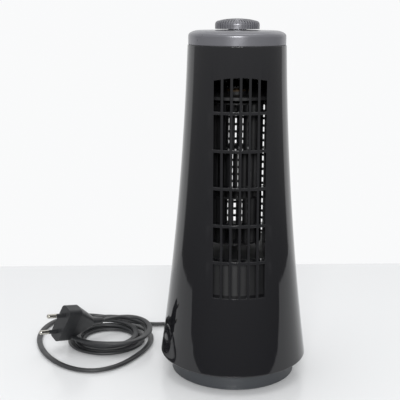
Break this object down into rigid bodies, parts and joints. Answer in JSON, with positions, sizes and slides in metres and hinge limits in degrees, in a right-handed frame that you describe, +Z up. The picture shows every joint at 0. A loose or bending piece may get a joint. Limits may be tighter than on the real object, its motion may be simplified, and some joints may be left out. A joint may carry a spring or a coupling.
{
  "type": "tower fan",
  "caption": "Glossy black flared tower fan with a slotted front grille, grey cap and fluted speed knob, swinging base, and a coiled mains cord with a flat plug",
  "frame": {"origin": "on the table in the middle of the round base", "axes": "+Z up along the tower and the swing axis, -Y out of the front grille, +Y out of the rear intake where the cord leaves, +X to the fan's left"},
  "size_m": [0.2482, 0.1876, 0.305],
  "materials": {
    "gloss_black": "polished",
    "satin_grey": "satin",
    "base_grey": "satin",
    "inner_black": "matte",
    "bearing_plastic": "satin",
    "black_rubber": "matte",
    "cord_black": "satin",
    "zinc_steel": "zinc plated",
    "bush_bronze": "sintered",
    "pin_nickel": "nickel plated"
  },
  "bodies": {
    "base": {"base_shell": "base_grey", "base_cover": "base_grey", "base_screws": "zinc_steel", "rubber_feet": "black_rubber", "thrust_ring": "bearing_plastic", "swivel_clip": "zinc_steel", "mains_lead": "cord_black", "cord_clamp": "inner_black", "clamp_screws": "zinc_steel", "cord_gland": "cord_black", "power_cord": "cord_black", "cord_coil": "cord_black", "cord_tail": "cord_black", "plug_body": "cord_black", "plug_pins": "pin_nickel", "plug_sleeves": "cord_black"},
    "tower": {"front_housing": "gloss_black", "rear_housing": "gloss_black", "housing_screws": "zinc_steel", "top_cap": "satin_grey", "cap_screws": "zinc_steel", "switch_body": "inner_black", "switch_nut": "zinc_steel", "lower_plate": "inner_black", "plate_screws": "zinc_steel", "swing_motor": "zinc_steel", "swing_motor_screws": "zinc_steel", "motor_deck": "inner_black", "motor_shield": "inner_black", "stator_stack": "zinc_steel", "stator_coil": "bearing_plastic", "upper_bridge": "zinc_steel", "lower_bridge": "zinc_steel", "motor_bushes": "bush_bronze", "motor_screws": "zinc_steel", "bearing_plate": "inner_black", "top_bearing": "bush_bronze", "scroll_wall": "inner_black", "vortex_tongue": "inner_black", "wiring_loom": "cord_black"},
    "rotor": {"motor_shaft": "zinc_steel", "rotor_core": "zinc_steel", "impeller": "inner_black", "hub_grub_screw": "zinc_steel", "impeller_pin": "zinc_steel"},
    "knob": {"speed_knob": "satin_grey", "switch_shaft": "inner_black"},
    "crank": {"swing_shaft": "zinc_steel", "swing_crank": "bearing_plastic"}
  },
  "joints": [
    {"name": "swing", "type": "hinge", "parent": "base", "child": "tower", "pos_m": [0, 0, 0.019], "axis": [0, 0, 1], "range_deg": [-30, 30]},
    {"name": "impeller_spin", "type": "hinge", "parent": "tower", "child": "rotor", "pos_m": [0, 0, 0.118], "axis": [0, 0, 1], "continuous": true},
    {"name": "knob_turn", "type": "hinge", "parent": "tower", "child": "knob", "pos_m": [0, 0, 0.3], "axis": [0, 0, 1], "range_deg": [0, 135]},
    {"name": "crank_turn", "type": "hinge", "parent": "tower", "child": "crank", "pos_m": [0, -0.026, 0.017], "axis": [0, 0, 1], "range_deg": [-105, 105]}
  ],
  "couplings": [
    {"joint": "crank_turn", "follows": "swing", "ratio": -3.5}
  ]
}
